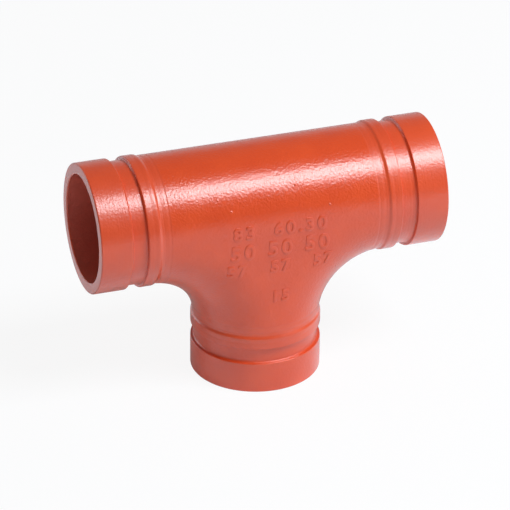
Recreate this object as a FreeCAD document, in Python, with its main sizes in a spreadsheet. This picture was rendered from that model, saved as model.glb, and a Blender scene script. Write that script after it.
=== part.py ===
"""Grooved tee: a one-piece iron casting with a straight run, a branch at its middle and a groove near each of its
three rims for clamp couplings.

The cast form is that of two elbows back to back. Above its axis the run is a plain half tube. Below the axis a half
tube turns down on each side into the branch, and flat cheeks close the front and the back between the two turns.
The hollow has the same form about the same lines, smaller by the wall, as its sand core has. Each end is turned to
the size of the pipe, with a collar, a groove and a land.

Frame: the tee stands on the rim of its branch. Origin at the centre of that rim, +Z up, run along X. The sketches
are drawn about the crossing of the axes of run and branch, and the finished piece is lifted by centre_to_end.
"""
import FreeCAD, Part
import math
import os
import Sketcher
from enum import IntEnum
from FreeCAD import Vector

NODE = "tee_body"

# Driving dimensions in millimetres
SIZES = {
    "centre_to_end": 83.0,       # from the crossing of the axes to each of the three rims
    "end_diameter": 60.3,        # pipe size, over the land and the collar
    "land_length": 14.9,         # from a rim to its groove, where a coupling's gasket seals
    "groove_width": 7.3,         # where a coupling's key grips
    "groove_depth": 1.65,
    "groove_edge_bevel": 0.35,   # on both edges of the groove
    "metal_under_groove": 3.5,   # from the bottom of the groove to the hollow, which is as wide all the way through
    "collar_width": 5.6,         # from the groove back to the slope
    "collar_step": 0.75,         # how far the collar stands out past the cast body
    "collar_slope": 1.0,         # how far the slope takes to come down to the cast body
    "turn_under_collar": 0.7,    # how far past the collar's back the turns begin, on the run and on the branch
    "rim_bevel": 0.6,            # on the outer edge of each rim
    "rim_round": 0.7,            # on the inner edge of each rim
    "cut_margin": 2.0,           # how far a form that cuts stands out past the surface that it cuts
}

# What the sketches use, worked out from the driving dimensions: first radii, and then places along an arm, from the
# crossing of the axes outwards
STATIONS = {
    "end_radius": "Sizes.end_diameter / 2",
    "body_radius": "end_radius - Sizes.collar_step",
    "groove_radius": "end_radius - Sizes.groove_depth",
    "bore_radius": "groove_radius - Sizes.metal_under_groove",
    "bevel_radius": "end_radius - Sizes.rim_bevel",
    "clear_radius": "end_radius + Sizes.cut_margin",
    "lip_radius": "end_radius - Sizes.groove_edge_bevel",
    "sunk_radius": "body_radius - Sizes.collar_step",
    "mouth_radius": "bore_radius + Sizes.rim_round",
    "rim": "Sizes.centre_to_end",
    "past_rim": "rim + Sizes.cut_margin",
    "bevel_start": "rim - Sizes.rim_bevel",
    "round_start": "rim - Sizes.rim_round",
    "groove_outer": "rim - Sizes.land_length",
    "groove_inner": "groove_outer - Sizes.groove_width",
    "outer_lip": "groove_outer + Sizes.groove_edge_bevel + Sizes.cut_margin",
    "inner_lip": "groove_inner - Sizes.groove_edge_bevel - Sizes.cut_margin",
    "collar_back": "groove_inner - Sizes.collar_width",
    "slope_end": "collar_back - 2 * Sizes.collar_slope",
    "turn_axis": "collar_back + Sizes.turn_under_collar",
}
ON_AXIS = None

# Corners of half a section of an end, as (place along the arm, radius)
END_CORNERS = [
    ("slope_end", "sunk_radius"),     # the collar's slope runs on as far again, under the cast skin
    ("slope_end", ON_AXIS),
    ("rim", ON_AXIS),
    ("rim", "bevel_radius"),
    ("bevel_start", "end_radius"),
    ("collar_back", "end_radius"),
]
GROOVE_CORNERS = [
    ("groove_inner", "groove_radius"),
    ("groove_outer", "groove_radius"),
    ("groove_outer", "lip_radius"),
    ("outer_lip", "clear_radius"),
    ("inner_lip", "clear_radius"),
    ("groove_inner", "lip_radius"),
]
MOUTH_CORNERS = [
    ("round_start", "bore_radius"),   # a quarter round leads from here to the next corner
    ("rim", "mouth_radius"),
    ("past_rim", "mouth_radius"),
    ("past_rim", ON_AXIS),
    ("turn_axis", ON_AXIS),
    ("turn_axis", "bore_radius"),
]
MOUTH_ROUND_CENTRE = ("round_start", "mouth_radius")


class OwnAxis(IntEnum):
    """Numbers of a drawing plane's own two axes."""
    ACROSS = -1
    UPRIGHT = -2


class OwnPoint(IntEnum):
    """Numbers of the points of a line or an arc."""
    START = 1
    END = 2
    CENTRE = 3


X_AXIS, Y_AXIS = OwnAxis
START, END, CENTRE = OwnPoint
ORIGIN = (X_AXIS, START)
UP = Vector(0, 0, 1)


def make_sheet(name, cells):
    """A sheet with one named cell a row."""
    sheet = doc.addObject("Spreadsheet::Sheet", name)
    for row, (alias, text) in enumerate(cells.items(), start=1):
        sheet.set(f"A{row}", alias)
        sheet.setAlias(f"B{row}", alias)
        sheet.set(f"B{row}", text)
    doc.recompute()
    return sheet


def origin_item(body, role):
    """One of the body's own origin planes or axes."""
    return next(item for item in body.Origin.OriginFeatures if item.Role == role)


def new_sketch(body, name, role):
    """An empty sketch on one of the body's origin planes."""
    sketch = body.newObject("Sketcher::SketchObject", name)
    sketch.AttachmentSupport = [(origin_item(body, role), "")]
    sketch.MapMode = "FlatFace"
    return sketch


def drive(sketch, kind, first, second, expression):
    """A dimension between two points, each given as (edge, point), tied to the sheets."""
    step = sketch.getPoint(*second) - sketch.getPoint(*first)
    value = step.x if kind == "DistanceX" else step.y
    index = sketch.addConstraint(Sketcher.Constraint(kind, *first, *second, value))
    sketch.setExpression(f"Constraints[{index}]", expression)


def half_disc(body, name, role, axis, radius):
    """A half disc about the sketch's origin, its flat along the given axis of the sketch."""
    circle = Part.Circle(Vector(), UP, stations.get(radius))
    start = 0 if axis == X_AXIS else -math.pi / 2
    sketch = new_sketch(body, name, role)
    arc = sketch.addGeometry(Part.ArcOfCircle(circle, start, start + math.pi))
    flat = sketch.addGeometry(Part.LineSegment(sketch.getPoint(arc, END), sketch.getPoint(arc, START)))
    sketch.addConstraint(Sketcher.Constraint("Coincident", arc, CENTRE, *ORIGIN))
    sketch.addConstraint(Sketcher.Constraint("Coincident", arc, START, flat, END))
    sketch.addConstraint(Sketcher.Constraint("Coincident", arc, END, flat, START))
    sketch.addConstraint(Sketcher.Constraint("PointOnObject", flat, START, axis))
    sketch.addConstraint(Sketcher.Constraint("PointOnObject", flat, END, axis))
    index = sketch.addConstraint(Sketcher.Constraint("Radius", arc, circle.Radius))
    sketch.setExpression(f"Constraints[{index}]", f"Stations.{radius}")
    return sketch


def cheek_sketch(body, name):
    """The flat web between the turns: straight along the run's axis, hollow arcs down to the branch's axis."""
    reach = stations.get("turn_axis")
    right_circle = Part.Circle(Vector(reach, -reach, 0), UP, reach)
    left_circle = Part.Circle(Vector(-reach, -reach, 0), UP, reach)
    sketch = new_sketch(body, name, "XZ_Plane")
    top = sketch.addGeometry(Part.LineSegment(Vector(-reach, 0, 0), Vector(reach, 0, 0)))
    right = sketch.addGeometry(Part.ArcOfCircle(right_circle, math.pi / 2, math.pi))
    left = sketch.addGeometry(Part.ArcOfCircle(left_circle, 0, math.pi / 2))
    sketch.addConstraint(Sketcher.Constraint("Coincident", top, END, right, START))
    sketch.addConstraint(Sketcher.Constraint("Coincident", right, END, left, START))
    sketch.addConstraint(Sketcher.Constraint("Coincident", left, END, top, START))
    sketch.addConstraint(Sketcher.Constraint("PointOnObject", top, END, X_AXIS))
    sketch.addConstraint(Sketcher.Constraint("Symmetric", top, START, top, END, Y_AXIS))
    sketch.addConstraint(Sketcher.Constraint("Horizontal", right, CENTRE, right, END))
    sketch.addConstraint(Sketcher.Constraint("Equal", left, right))
    drive(sketch, "DistanceX", ORIGIN, (top, END), "Stations.turn_axis")
    drive(sketch, "DistanceX", ORIGIN, (right, CENTRE), "Stations.turn_axis")
    drive(sketch, "DistanceY", (right, CENTRE), ORIGIN, "Stations.turn_axis")
    return sketch


def pin(sketch, branch, point, along, radius):
    """A point of an arm's section, held at its place along the arm and at its radius."""
    if branch:
        drive(sketch, "DistanceY", point, ORIGIN, f"Stations.{along}")
    else:
        drive(sketch, "DistanceX", ORIGIN, point, f"Stations.{along}")
    if radius is ON_AXIS:
        sketch.addConstraint(Sketcher.Constraint("PointOnObject", *point, Y_AXIS if branch else X_AXIS))
    else:
        drive(sketch, "DistanceX" if branch else "DistanceY", ORIGIN, point, f"Stations.{radius}")


def section_point(branch, along, radius):
    """Where a corner of an arm's section lies on its sketch: the run's arm points to +X, the branch down."""
    out = stations.get(along)
    off = 0 if radius is ON_AXIS else stations.get(radius)
    return Vector(off, -out, 0) if branch else Vector(out, off, 0)


def arm_section(body, name, branch, corners, round_centre=None):
    """Half a section of an arm's end. With a centre given, the first edge is an arc about it."""
    sketch = new_sketch(body, name, "XZ_Plane")
    points = [section_point(branch, *corner) for corner in corners]
    edges = []
    for first, second in zip(points, points[1:] + points[:1]):
        if round_centre and not edges:
            centre = section_point(branch, *round_centre)
            spokes = [point - centre for point in (first, second)]
            angles = [math.atan2(spoke.y, spoke.x) for spoke in spokes]
            curve = Part.ArcOfCircle(Part.Circle(centre, UP, spokes[0].Length), *angles)
        else:
            curve = Part.LineSegment(first, second)
        edges.append(sketch.addGeometry(curve))
    for edge, following in zip(edges, edges[1:] + edges[:1]):
        sketch.addConstraint(Sketcher.Constraint("Coincident", edge, END, following, START))
    for edge, corner in zip(edges, corners):
        pin(sketch, branch, (edge, START), *corner)
    if round_centre and branch:
        drive(sketch, "DistanceY", (edges[0], CENTRE), ORIGIN, f"Stations.{round_centre[0]}")
    elif round_centre:
        drive(sketch, "DistanceX", ORIGIN, (edges[0], CENTRE), f"Stations.{round_centre[0]}")
    return sketch


def both_ways(body, name, sketch, length):
    """A pad that reaches half its length to each side of its sketch."""
    pad = body.newObject("PartDesign::Pad", name)
    pad.Profile = sketch
    pad.Midplane = True
    pad.setExpression("Length", length)


def other_side(body, feature):
    """The same feature again on the other side of the branch."""
    mirrored = body.newObject("PartDesign::Mirrored", f"Other{feature.Name}")
    mirrored.Originals = [feature]
    mirrored.MirrorPlane = (origin_item(body, "YZ_Plane"), [""])
    body.Tip = mirrored


def add_tee_form(body, prefix, radius):
    """The straight upper half of the run, the cheeks, and the turn down into the branch on each side."""
    both_ways(body, f"{prefix}Upper", half_disc(body, f"{prefix}UpperSketch", "YZ_Plane", X_AXIS, radius),
              "2 * Stations.turn_axis")
    both_ways(body, f"{prefix}Cheeks", cheek_sketch(body, f"{prefix}CheekSketch"), f"2 * Stations.{radius}")
    sketch = half_disc(body, f"{prefix}TurnSketch", "XY_Plane", Y_AXIS, radius)
    sketch.setExpression("AttachmentOffset.Base.z", "-Stations.turn_axis")
    reach, half = stations.get("turn_axis"), stations.get(radius)
    pivot = sketch.addGeometry(Part.LineSegment(Vector(reach, -half, 0), Vector(reach, half, 0)), True)
    sketch.addConstraint(Sketcher.Constraint("Symmetric", pivot, START, pivot, END, X_AXIS))
    drive(sketch, "DistanceX", ORIGIN, (pivot, START), "Stations.turn_axis")
    drive(sketch, "DistanceY", (pivot, START), (pivot, END), f"2 * Stations.{radius}")
    turn = body.newObject("PartDesign::Revolution", f"{prefix}Turn")
    turn.Profile = sketch
    turn.ReferenceAxis = (sketch, ["Axis0"])
    turn.Angle = 90
    other_side(body, turn)


def add_ends(body, prefix, kind, corners, round_centre=None):
    """The same section turned, or cut away, about the run on both sides and about the branch."""
    for arm, branch, axis in (("Run", False, "X_Axis"), ("Branch", True, "Z_Axis")):
        feature = body.newObject(kind, f"{prefix}{arm}")
        feature.Profile = arm_section(body, f"{prefix}{arm}Sketch", branch, corners, round_centre)
        feature.ReferenceAxis = (origin_item(body, axis), [""])
        feature.Angle = 360
        if not branch:
            other_side(body, feature)
        else:
            body.Tip = feature


def check_document():
    """Stops with a plain message if an object failed, or if a body or the tee isn't one sound solid."""
    failed = [item.Name for item in doc.Objects if {"Invalid", "Error"} & set(item.State)]
    if failed:
        raise RuntimeError(f"failed objects: {failed}")
    for item in (pattern, core, tee):
        if item.Shape.isNull() or not item.Shape.isValid() or len(item.Shape.Solids) != 1:
            raise RuntimeError(f"{item.Name} isn't one sound solid")


doc = FreeCAD.newDocument("GroovedTee")
sizes = make_sheet("Sizes", {alias: str(value) for alias, value in SIZES.items()})
stations = make_sheet("Stations", {alias: f"={formula}" for alias, formula in STATIONS.items()})

# The outside of the casting, solid all through, and then the grooves cut into its three ends
pattern = doc.addObject("PartDesign::Body", "Pattern")
add_tee_form(pattern, "Outer", "body_radius")
add_ends(pattern, "End", "PartDesign::Revolution", END_CORNERS)
doc.recompute()
uncut_volume = pattern.Shape.Volume
add_ends(pattern, "Groove", "PartDesign::Groove", GROOVE_CORNERS)
doc.recompute()
if pattern.Shape.Volume >= uncut_volume:
    raise RuntimeError("the grooves cut nothing")

# The hollow, as the sand core fills it, out past the three rims
core = doc.addObject("PartDesign::Body", "Core")
add_tee_form(core, "Inner", "bore_radius")
add_ends(core, "Mouth", "PartDesign::Revolution", MOUTH_CORNERS, MOUTH_ROUND_CENTRE)

# The casting itself, lifted to stand on the rim of its branch
tee = doc.addObject("Part::Cut", "Tee")
tee.Label = NODE
tee.Base = pattern
tee.Tool = core
tee.Refine = True
tee.setExpression("Placement.Base.z", "Sizes.centre_to_end")
doc.recompute()
check_document()

os.makedirs("parts", exist_ok=True)
tee.Shape.exportStep(f"parts/{tee.Label}.step")
print(f"{tee.Label}: volume {tee.Shape.Volume:.0f} mm3, {len(tee.Shape.Faces)} faces")
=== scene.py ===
"""Looks of the grooved tee: one iron casting in glossy orange enamel, standing on the rim of its branch.

The casting's skin is remade here with rounded edges about the frame's own sizes, and takes the place of the
plain solid. Low numbers stand on its front cheek, as a foundry's size marks do.
"""

import math

import bmesh
import bpy
from mathutils import Matrix, Vector


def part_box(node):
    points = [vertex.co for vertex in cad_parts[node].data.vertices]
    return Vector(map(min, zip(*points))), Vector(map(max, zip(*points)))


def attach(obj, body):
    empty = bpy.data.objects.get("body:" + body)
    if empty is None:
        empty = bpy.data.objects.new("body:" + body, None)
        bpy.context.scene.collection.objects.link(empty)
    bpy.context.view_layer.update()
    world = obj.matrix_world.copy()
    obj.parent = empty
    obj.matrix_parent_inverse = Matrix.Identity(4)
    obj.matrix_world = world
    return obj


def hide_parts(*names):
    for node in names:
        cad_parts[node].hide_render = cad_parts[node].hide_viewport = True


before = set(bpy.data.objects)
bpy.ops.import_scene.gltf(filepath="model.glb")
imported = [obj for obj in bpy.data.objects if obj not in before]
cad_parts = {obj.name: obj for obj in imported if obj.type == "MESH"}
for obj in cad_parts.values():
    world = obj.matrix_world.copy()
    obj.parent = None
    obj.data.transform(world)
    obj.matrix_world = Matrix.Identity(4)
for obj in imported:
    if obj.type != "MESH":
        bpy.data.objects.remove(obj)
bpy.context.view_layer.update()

MM = 0.001
NODE, BODY, SLOT = "tee_body", "root", "enamel"

# Sizes of the casting. The first two are read from the solid, and the others repeat its own.
_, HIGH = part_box(NODE)
CENTRE_TO_END = HIGH.x
END_RADIUS = HIGH.z - CENTRE_TO_END
LAND = 14.9 * MM
GROOVE_WIDTH = 7.3 * MM
GROOVE_DEPTH = 1.65 * MM
COLLAR_WIDTH = 5.6 * MM
COLLAR_STEP = 0.75 * MM
COLLAR_SLOPE = 1.0 * MM
METAL_UNDER_GROOVE = 3.5 * MM
TURN_UNDER_COLLAR = 0.7 * MM

# Radii, and places along an arm from the crossing of the axes
GROOVE_RADIUS = END_RADIUS - GROOVE_DEPTH
BORE_RADIUS = GROOVE_RADIUS - METAL_UNDER_GROOVE
BODY_RADIUS = END_RADIUS - COLLAR_STEP
GROOVE_OUTER = CENTRE_TO_END - LAND
GROOVE_INNER = GROOVE_OUTER - GROOVE_WIDTH
COLLAR_BACK = GROOVE_INNER - COLLAR_WIDTH
SLOPE_FOOT = COLLAR_BACK - COLLAR_SLOPE
TURN_AXIS = COLLAR_BACK + TURN_UNDER_COLLAR
TOOL_RUN_ON = 5.0 * MM                # how far the tool ran on past the slope, into the cast body
END_START = SLOPE_FOOT - TOOL_RUN_ON
JOINT_STRIP = 0.5 * MM                # one strip of faces joins the cast body's skin to a turned end
BODY_CUT = END_START - JOINT_STRIP

# The rings that the tool's tip left: half their width, their depth, and how far two of them lie before the foot
# of the slope and one past the collar's back
SCORE_STEP, SCORE_DEPTH = 0.45 * MM, 0.16 * MM
OUTER_SCORE, INNER_SCORE, COLLAR_SCORE = 4.1 * MM, 1.4 * MM, 2.2 * MM


def score(place, radius):
    """A shallow ring that the tool's tip left, as three corners of a section."""
    return [(place - SCORE_STEP, radius, 0), (place, radius - SCORE_DEPTH, 0), (place + SCORE_STEP, radius, 0)]


# Half a section of an end, from the cast body over the collar, the groove, the land and the rim back down the
# bore, as (place along the arm, radius, how far the enamel rounds that corner)
END_SECTION = [
    (END_START, BODY_RADIUS, 0),
    *score(SLOPE_FOOT - OUTER_SCORE, BODY_RADIUS),
    *score(SLOPE_FOOT - INNER_SCORE, BODY_RADIUS),
    (SLOPE_FOOT, BODY_RADIUS, 0.55 * MM),
    (COLLAR_BACK, END_RADIUS, 0.5 * MM),
    *score(COLLAR_BACK + COLLAR_SCORE, END_RADIUS),
    (GROOVE_INNER, END_RADIUS, 0.5 * MM),
    (GROOVE_INNER, GROOVE_RADIUS, 0.6 * MM),
    (GROOVE_OUTER, GROOVE_RADIUS, 0.9 * MM),
    (GROOVE_OUTER, END_RADIUS, 0.5 * MM),
    (CENTRE_TO_END, END_RADIUS, 0.6 * MM),
    (CENTRE_TO_END, BORE_RADIUS, 0.7 * MM),
    (TURN_AXIS, BORE_RADIUS, 0),
]
CORNER_STEPS = 4
ROUND_STEPS = 144                     # round an arm
TURN_STEPS = 30                       # along a turn, and along half of the run's body
WELD = 0.001 * MM
AS_CAST, TURNED, HOLLOW = 0, 1, 2     # places of the casting's three materials

MOST_LET_OUT = 1.3                    # a turned end's skin is let out to meet a turn, this many times at most
HALVINGS = 24                         # of the range in which the right amount is looked for
BORE_MARGIN = 1.0 * MM                # what lies nearer to the bore than this stays where it is

# Rows of the size marks, in millimetres: the arm's length and the pipe, the three bores, the three grooves and
# the land. A row has its text, the height of its type, its place along the run and that of its foot.
MARK_ROWS = [
    ("83  60.30", 9.0 * MM, 1.5 * MM, -2.2 * MM),
    ("50 50 50", 10.3 * MM, 1.5 * MM, -12.4 * MM),
    ("57   57   57", 8.0 * MM, 1.5 * MM, -20.8 * MM),
    ("15", 7.6 * MM, 1.8 * MM, -36.3 * MM),
]
MARK_SPREAD = 1.3                     # the space between the numbers, in that of the plain type
MARK_WEIGHT = 0.22 * MM               # how much bolder than the plain type they are, all round
MARK_HALF, MARK_BEVEL = 0.6 * MM, 0.15 * MM
MARK_SINK = 0.45 * MM                 # their middle lies this deep in the skin, so that they stand 0.3 mm proud

# Sizes of the enamel's patterns. Moulding sand and a tool's feed are finer than a pixel of the photograph, which
# spans about half a millimetre, so the sand and the rings are drawn as coarse as they need to show.
SAND_GRAIN = 1.1 * MM
RING_PITCH = 0.9 * MM
NIB_SPACING, NIB_RADIUS = 9 * MM, 0.7 * MM
WAVE_LENGTH, WAVE_HEIGHT, WAVE_STRENGTH = 14 * MM, 0.5 * MM, 0.4
PATCH_SIZE = 16 * MM

# Typical values of a baked enamel, whose top is smoother than the pigment under it
ENAMEL_IOR, PIGMENT_ROUGHNESS, TOP_ROUGHNESS = 1.55, 0.28, 0.14

# The floor, out to where its rim turns up. Its glow is white at a strength of 1. The camera sees nine tenths of
# it, and the rest of what it sees is the lit floor with the tee's shadow. Shiny things mirror a tenth of it.
FLOOR_SECTION = ((0, 0, 0), (4.5, 0, 0), (5.5, 0, 0.15), (6.0, 0, 0.6))
FLOOR_STEPS = 64
WHITE_GLOW, GLOW_SEEN, GLOW_MIRRORED = 1.0, 0.9, 0.1
ROOM_LEVEL = 0.2                      # how bright the even grey room is

X_AXIS, Y_AXIS, Z_AXIS = Vector((1, 0, 0)), Vector((0, 1, 0)), Vector((0, 0, 1))
ARMS = (X_AXIS, -X_AXIS, -Z_AXIS)
ORIGIN = Vector((0, 0, 0))
CROSSING = Vector((0, 0, CENTRE_TO_END))
QUARTER = math.radians(90)


def linear(code):
    """An sRGB hex colour as linear red, green, blue and alpha."""
    channels = [int(code[i:i + 2], 16) / 255 for i in (1, 3, 5)]
    return [c / 12.92 if c <= 0.04045 else ((c + 0.055) / 1.055) ** 2.4 for c in channels] + [1.0]


def add(tree, kind, settings=None, sockets=None, links=None):
    """A node with its settings, the values of its sockets, and links to them from other nodes' outputs. A socket
    goes by its name, or by its place where several have the same name."""
    node = tree.nodes.new(kind)
    for name, value in (settings or {}).items():
        setattr(node, name, value)
    for name, value in (sockets or {}).items():
        node.inputs[name].default_value = value
    for name, output in (links or {}).items():
        tree.links.new(output, node.inputs[name])
    return node


def piece(name, bm, materials):
    """A finished mesh, smooth all over, linked into the scene."""
    mesh = bpy.data.meshes.new(name)
    bm.to_mesh(mesh)
    bm.free()
    for polygon in mesh.polygons:
        polygon.use_smooth = True
    for material in materials:
        mesh.materials.append(material)
    made = bpy.data.objects.new(name, mesh)
    bpy.context.scene.collection.objects.link(made)
    return made


def depth_at(x, z, radius):
    """How far in front of the run's axis a skin of that radius lies, at a place measured from the crossing."""
    if z > 0:
        off_line = z
    else:
        off_line = max(0, TURN_AXIS - math.hypot(TURN_AXIS - abs(x), TURN_AXIS + z))
    return math.sqrt(max(0, radius ** 2 - off_line ** 2))


def turned_end():
    """One end of the run, towards +X: its section with rounded corners, turned about the run's axis."""
    bm = bmesh.new()
    corners = [bm.verts.new((place, 0, radius)) for place, radius, _ in END_SECTION]
    for first, second in zip(corners, corners[1:]):
        bm.edges.new((first, second))
    roundings = [rounding for _, _, rounding in END_SECTION]
    for rounding in sorted(set(roundings) - {0}):
        chosen = [corner for corner, own in zip(corners, roundings) if own == rounding]
        bmesh.ops.bevel(bm, geom=chosen, offset=rounding, offset_type="OFFSET", affect="VERTICES",
                        segments=CORNER_STEPS, profile=0.5, material=-1)
    bmesh.ops.spin(bm, geom=bm.verts[:] + bm.edges[:], cent=ORIGIN, axis=X_AXIS, angle=math.tau,
                   steps=ROUND_STEPS, use_merge=True)
    for face in bm.faces:
        middle = face.calc_center_median()
        in_bore = math.hypot(middle.y, middle.z) < BORE_RADIUS + WELD
        face.material_index = HOLLOW if in_bore else TURNED
    return bm


def follow_turns(end, two_turns=False):
    """Moves the inner part of a turned end out to the cast skin wherever a turn stands out past it. The run's
    ends have a turn below them, and the branch's end has one on each side."""
    for v in end.verts:
        x, y, z = v.co
        off_axis = math.hypot(y, z)
        if x > TURN_AXIS or off_axis < BORE_RADIUS + BORE_MARGIN or (z >= 0 and not two_turns):
            continue
        inside, outside = 1.0, MOST_LET_OUT
        for _ in range(HALVINGS):
            middle = (inside + outside) / 2
            if abs(y) * middle < depth_at(x, -abs(z) * middle, min(off_axis, BODY_RADIUS)):
                inside = middle
            else:
                outside = middle
        v.co.y, v.co.z = y * inside, z * inside


def half_ring(bm, radius, side):
    """Half a circle round the run's axis where a turn starts: above the axis for side 1, below it for side -1."""
    stand_up = Matrix.Translation(X_AXIS * TURN_AXIS) @ Matrix.Rotation(QUARTER, 4, "Y")
    ring = bmesh.ops.create_circle(bm, segments=ROUND_STEPS, radius=radius, matrix=stand_up)["verts"]
    bmesh.ops.delete(bm, geom=[v for v in ring if v.co.z * side < -WELD], context="VERTS")
    kept = [v for v in ring if v.is_valid]
    return kept + list({edge for v in kept for edge in v.link_edges})


def tee_skin(radius):
    """The cast form: a half tube above the run's axis, a half tube turning down on each side, and flat cheeks."""
    bm = bmesh.new()
    turn_centre = Vector((TURN_AXIS, 0, -TURN_AXIS))
    bmesh.ops.spin(bm, geom=half_ring(bm, radius, -1), cent=turn_centre, axis=Y_AXIS, angle=-QUARTER,
                   steps=TURN_STEPS)
    bmesh.ops.spin(bm, geom=half_ring(bm, radius, 1), cent=ORIGIN, axis=X_AXIS, angle=0,
                   dvec=-X_AXIS * TURN_AXIS / TURN_STEPS, steps=TURN_STEPS)
    bmesh.ops.mirror(bm, geom=bm.verts[:] + bm.edges[:] + bm.faces[:], axis="X", merge_dist=WELD)
    bmesh.ops.remove_doubles(bm, verts=bm.verts[:], dist=WELD)
    cheek_edges = [edge for edge in bm.edges
                   if edge.is_boundary and all(abs(v.co.y) > radius - WELD for v in edge.verts)]
    bmesh.ops.edgeloop_fill(bm, edges=cheek_edges)
    return bm


def cut_arms(bm, place):
    """Cuts a skin's three arms off at a place along them."""
    for outwards in ARMS:
        bmesh.ops.bisect_plane(bm, geom=bm.verts[:] + bm.edges[:] + bm.faces[:], plane_co=outwards * place,
                               plane_no=outwards, clear_outer=True, dist=WELD)


def join(whole, part, turn=0, axis="Z"):
    """Adds a copy of a mesh to another, turned about an axis by so many degrees."""
    mesh = bpy.data.meshes.new("part")
    part.to_mesh(mesh)
    mesh.transform(Matrix.Rotation(math.radians(turn), 4, axis))
    whole.from_mesh(mesh)
    bpy.data.meshes.remove(mesh)


def make_tee(materials):
    """The whole casting as one closed mesh, with its materials in the order as cast, turned, hollow."""
    bm = bmesh.new()
    outer, inner = tee_skin(BODY_RADIUS), tee_skin(BORE_RADIUS)
    run_end, branch_end = turned_end(), turned_end()
    follow_turns(run_end)
    follow_turns(branch_end, two_turns=True)
    cut_arms(outer, BODY_CUT)
    for face in outer.faces:
        face.material_index = AS_CAST
    for face in inner.faces:
        face.material_index = HOLLOW
    join(bm, outer)
    join(bm, inner)
    join(bm, run_end)
    join(bm, run_end, 180, "Z")
    join(bm, branch_end, 90, "Y")
    for part in (outer, inner, run_end, branch_end):
        part.free()
    bmesh.ops.remove_doubles(bm, verts=bm.verts[:], dist=WELD)
    for outwards in ARMS:
        rings = [edge for edge in bm.edges
                 if edge.is_boundary and all(v.co.dot(outwards) > BODY_CUT - WELD for v in edge.verts)]
        bmesh.ops.bridge_loops(bm, edges=rings)
    bmesh.ops.recalc_face_normals(bm, faces=bm.faces[:])
    bm.transform(Matrix.Translation(CROSSING))
    casting = piece("casting", bm, materials)
    casting.modifiers.new("even_shading", "WEIGHTED_NORMAL").keep_sharp = False
    return casting


def make_numbers(material):
    """The size marks, raised on the front cheek."""
    bm = bmesh.new()
    for text, height, along, foot in MARK_ROWS:
        curve = bpy.data.curves.new("marks", "FONT")
        curve.body = text
        curve.size = height
        curve.align_x = "CENTER"
        curve.space_character = MARK_SPREAD
        curve.offset = MARK_WEIGHT
        curve.extrude = MARK_HALF
        curve.bevel_depth = MARK_BEVEL
        curve.bevel_resolution = 1
        holder = bpy.data.objects.new("marks", curve)
        mesh = bpy.data.meshes.new_from_object(holder)
        mesh.transform(Matrix.Translation((along, 0, foot)) @ Matrix.Rotation(QUARTER, 4, "X"))
        bm.from_mesh(mesh)
        bpy.data.meshes.remove(mesh)
        bpy.data.objects.remove(holder)
        bpy.data.curves.remove(curve)
    bmesh.ops.remove_doubles(bm, verts=bm.verts[:], dist=WELD)
    for v in bm.verts:
        v.co.y += MARK_SINK - depth_at(v.co.x, v.co.z, BODY_RADIUS)
    bm.transform(Matrix.Translation(CROSSING))
    return piece("size_marks", bm, [material])


def tool_path(tree, place):
    """The place along an arm: along the run at its two ends, and up the branch at the branch's end."""
    split = add(tree, "ShaderNodeSeparateXYZ", links={"Vector": place})
    on_branch = add(tree, "ShaderNodeMath", {"operation": "LESS_THAN"}, {1: CENTRE_TO_END / 2},
                    {0: split.outputs["Z"]})
    pick = add(tree, "ShaderNodeMix", {"data_type": "FLOAT"},
               links={"Factor": on_branch.outputs[0], "A": split.outputs["X"], "B": split.outputs["Z"]})
    return pick.outputs["Result"]


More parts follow.
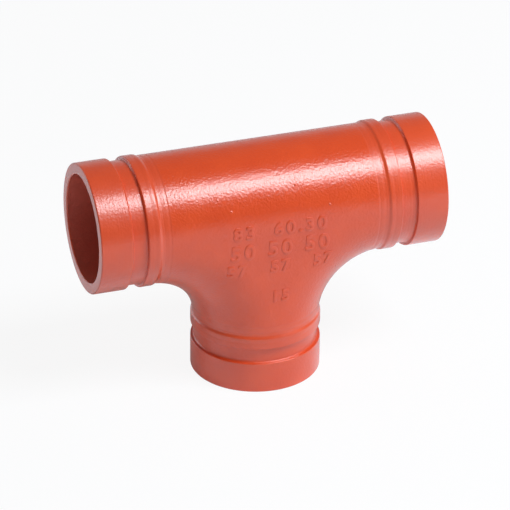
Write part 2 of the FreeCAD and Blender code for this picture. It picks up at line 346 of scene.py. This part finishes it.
def enamel(name, colour, deeper, grain=0.0, nibs=0.0, rings=0.0, satin=0.0, gloss=0.7):
    """Glossy enamel sprayed on iron. The paint levels out into a shine with long low waves in it, and is a little
    deeper in colour in slow patches where it lies thicker. What lies under it still shows in the shine: the grain
    of the moulding sand breaks it up into specks, nibs of dust stand in it as single dots, and the tool's rings
    draw it out into streaks. Grain, nibs and rings are heights in metres. Satin is how far the shine is dulled,
    and gloss is the weight of the clear top of the enamel."""
    material = bpy.data.materials.new(name)
    material.use_nodes = True
    tree = material.node_tree
    tree.nodes.clear()
    place = add(tree, "ShaderNodeTexCoord").outputs["Object"]
    waves = add(tree, "ShaderNodeTexNoise", sockets={"Scale": 1 / WAVE_LENGTH, "Detail": 1.0},
                links={"Vector": place})
    relief = add(tree, "ShaderNodeBump", sockets={"Strength": WAVE_STRENGTH, "Distance": WAVE_HEIGHT},
                 links={"Height": waves.outputs["Fac"]})
    if grain:
        sand = add(tree, "ShaderNodeTexNoise", sockets={"Scale": 1 / SAND_GRAIN, "Detail": 3.0},
                   links={"Vector": place})
        relief = add(tree, "ShaderNodeBump", sockets={"Strength": 1.0, "Distance": grain},
                     links={"Height": sand.outputs["Fac"], "Normal": relief.outputs["Normal"]})
    if nibs:
        spots = add(tree, "ShaderNodeTexVoronoi", sockets={"Scale": 1 / NIB_SPACING}, links={"Vector": place})
        humps = add(tree, "ShaderNodeMapRange", {"interpolation_type": "SMOOTHSTEP"},
                    {"From Min": 0.0, "From Max": NIB_RADIUS / NIB_SPACING, "To Min": 1.0, "To Max": 0.0},
                    {"Value": spots.outputs["Distance"]})
        relief = add(tree, "ShaderNodeBump", sockets={"Strength": 1.0, "Distance": nibs},
                     links={"Height": humps.outputs["Result"], "Normal": relief.outputs["Normal"]})
    if rings:
        streaks = add(tree, "ShaderNodeTexNoise", {"noise_dimensions": "1D"},
                      {"Scale": 1 / RING_PITCH, "Detail": 2.0}, {"W": tool_path(tree, place)})
        relief = add(tree, "ShaderNodeBump", sockets={"Strength": 1.0, "Distance": rings},
                     links={"Height": streaks.outputs["Fac"], "Normal": relief.outputs["Normal"]})
    patches = add(tree, "ShaderNodeTexNoise", sockets={"Scale": 1 / PATCH_SIZE, "Detail": 2.0},
                  links={"Vector": place})
    # A Mix node's colours are its sockets 6 and 7, and the mixed colour is its output 2
    shade = add(tree, "ShaderNodeMix", {"data_type": "RGBA"}, {6: linear(colour), 7: linear(deeper)},
                {0: patches.outputs["Fac"]})
    shader = add(tree, "ShaderNodeBsdfPrincipled",
                 sockets={"Roughness": PIGMENT_ROUGHNESS + satin, "IOR": ENAMEL_IOR, "Coat Weight": gloss,
                          "Coat Roughness": TOP_ROUGHNESS + satin},
                 links={"Base Color": shade.outputs[2], "Normal": relief.outputs["Normal"],
                        "Coat Normal": relief.outputs["Normal"]})
    add(tree, "ShaderNodeOutputMaterial", links={"Surface": shader.outputs["BSDF"]})
    return material


def make_floor():
    """A wide white dish: flat under the tee, with a low rim far off, so that the floor has no horizon."""
    bm = bmesh.new()
    section = [bm.verts.new(place) for place in FLOOR_SECTION]
    for first, second in zip(section, section[1:]):
        bm.edges.new((first, second))
    bmesh.ops.spin(bm, geom=bm.verts[:] + bm.edges[:], cent=ORIGIN, axis=Z_AXIS, angle=math.tau,
                   steps=FLOOR_STEPS, use_merge=True)
    bmesh.ops.remove_doubles(bm, verts=bm.verts[:], dist=WELD)
    bmesh.ops.recalc_face_normals(bm, faces=bm.faces[:])
    material = bpy.data.materials.new("white_floor")
    material.use_nodes = True
    tree = material.node_tree
    tree.nodes.clear()
    path = add(tree, "ShaderNodeLightPath")
    seen = add(tree, "ShaderNodeMath", {"operation": "MAXIMUM"},
               links={0: path.outputs["Is Camera Ray"], 1: path.outputs["Is Transmission Ray"]})
    mirrored = add(tree, "ShaderNodeMath", {"operation": "MULTIPLY"}, {1: GLOW_MIRRORED},
                   {0: path.outputs["Is Glossy Ray"]})
    share = add(tree, "ShaderNodeMath", {"operation": "MULTIPLY_ADD"}, {1: GLOW_SEEN},
                {0: seen.outputs[0], 2: mirrored.outputs[0]})
    white = add(tree, "ShaderNodeBsdfDiffuse", sockets={"Color": linear("#F6F8FC")})
    glow = add(tree, "ShaderNodeEmission", sockets={"Color": linear("#FFFFFF"), "Strength": WHITE_GLOW})
    mixed = add(tree, "ShaderNodeMixShader",
                links={0: share.outputs[0], 1: white.outputs["BSDF"], 2: glow.outputs["Emission"]})
    add(tree, "ShaderNodeOutputMaterial", links={"Surface": mixed.outputs["Shader"]})
    floor = piece("floor", bm, [material])


def make_lamp(name, direction, distance, width, depth, brightness, aside=0):
    """A softbox turned towards the tee, and then moved aside along its own width. Its brightness is that of its
    face, where a lit white card has 1."""
    data = bpy.data.lights.new(name, "AREA")
    data.shape = "RECTANGLE"
    data.size, data.size_y = width, depth
    data.energy = brightness * math.pi * width * depth
    data.color = linear("#F4F9FF")[:3]
    lamp = bpy.data.objects.new(name, data)
    facing = direction.to_track_quat("Z", "Y")
    lamp.location = CROSSING + direction.normalized() * distance + facing @ X_AXIS * aside
    lamp.rotation_euler = facing.to_euler()
    lamp.visible_camera = False
    bpy.context.scene.collection.objects.link(lamp)


def make_world():
    """An even grey room."""
    world = bpy.data.worlds.new("studio")
    world.use_nodes = True
    background = world.node_tree.nodes["Background"]
    background.inputs["Color"].default_value = linear("#FFFFFF")
    background.inputs["Strength"].default_value = ROOM_LEVEL
    bpy.context.scene.world = world


def make_camera():
    """The photograph's view: far off with a long lens, a little from the left and from above."""
    azimuth, elevation, roll = (math.radians(v) for v in (-19.194, 27.646, 0.457))
    distance = 2.0025
    sensor_mm = 36
    frame_px, focal_px = 510, 4377.0
    crossing_px = Vector((256.016, 202.163))      # where the photograph shows the crossing of the axes
    aside, below = (crossing_px - Vector((frame_px, frame_px)) / 2) / focal_px
    turn = (Matrix.Rotation(azimuth, 4, "Z") @ Matrix.Rotation(QUARTER - elevation, 4, "X")
            @ Matrix.Rotation(roll, 4, "Z"))
    aim = Matrix.Rotation(math.atan(below), 4, "X") @ Matrix.Rotation(math.atan(aside), 4, "Y")
    data = bpy.data.cameras.new("camera")
    data.sensor_width = sensor_mm
    data.lens = focal_px / frame_px * sensor_mm
    camera = bpy.data.objects.new("camera", data)
    back = turn.to_3x3() @ Z_AXIS
    camera.matrix_world = Matrix.Translation(CROSSING + back * distance) @ turn @ aim
    bpy.context.scene.collection.objects.link(camera)
    bpy.context.scene.camera = camera


# Over the rough cast skin the shine is bright and broken up. Over the turned ends it is a little duller and lies
# in streaks round them. In the bore the enamel is duller still, and its own pinker red is painted shade of the
# hollow, where the real paint is the same orange.
orange = enamel("orange_enamel_on_cast_iron", "#EB521A", "#D9420E", grain=0.185 * MM, nibs=0.3 * MM)
even = enamel("orange_enamel_on_turned_iron", "#EB521A", "#D9420E", grain=0.12 * MM, rings=0.05 * MM,
              satin=0.1, gloss=1.0)
bore_enamel_painted_shade = enamel("enamel_in_the_bore_with_painted_shade", "#DE6C57", "#C65441", grain=0.1 * MM, satin=0.2)
casting = make_tee([orange, even, bore_enamel_painted_shade])
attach(casting, BODY)
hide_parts(NODE)
marks = make_numbers(orange)
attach(marks, BODY)

make_floor()
# A bright narrow box over the tee draws the long highlight. The others lift the back, the right side and the
# face of the left rim.
make_lamp("overhead_softbox", Vector((0, -0.466, 0.885)), distance=1.0, width=0.95, depth=0.36, brightness=13.0,
          aside=0.58)
make_lamp("back_softbox", Vector((0.2, 0.85, 0.13)), distance=2.4, width=2.6, depth=0.6, brightness=0.27)
make_lamp("right_softbox", Vector((0.72, -0.62, 0.3)), distance=2.2, width=1.4, depth=1.0, brightness=0.36)
make_lamp("rim_softbox", Vector((-0.65, 0.75, 0.1)), distance=2.2, width=1.2, depth=1.2, brightness=1.8)
make_world()
make_camera()
bpy.context.scene.view_settings.view_transform = "Standard"
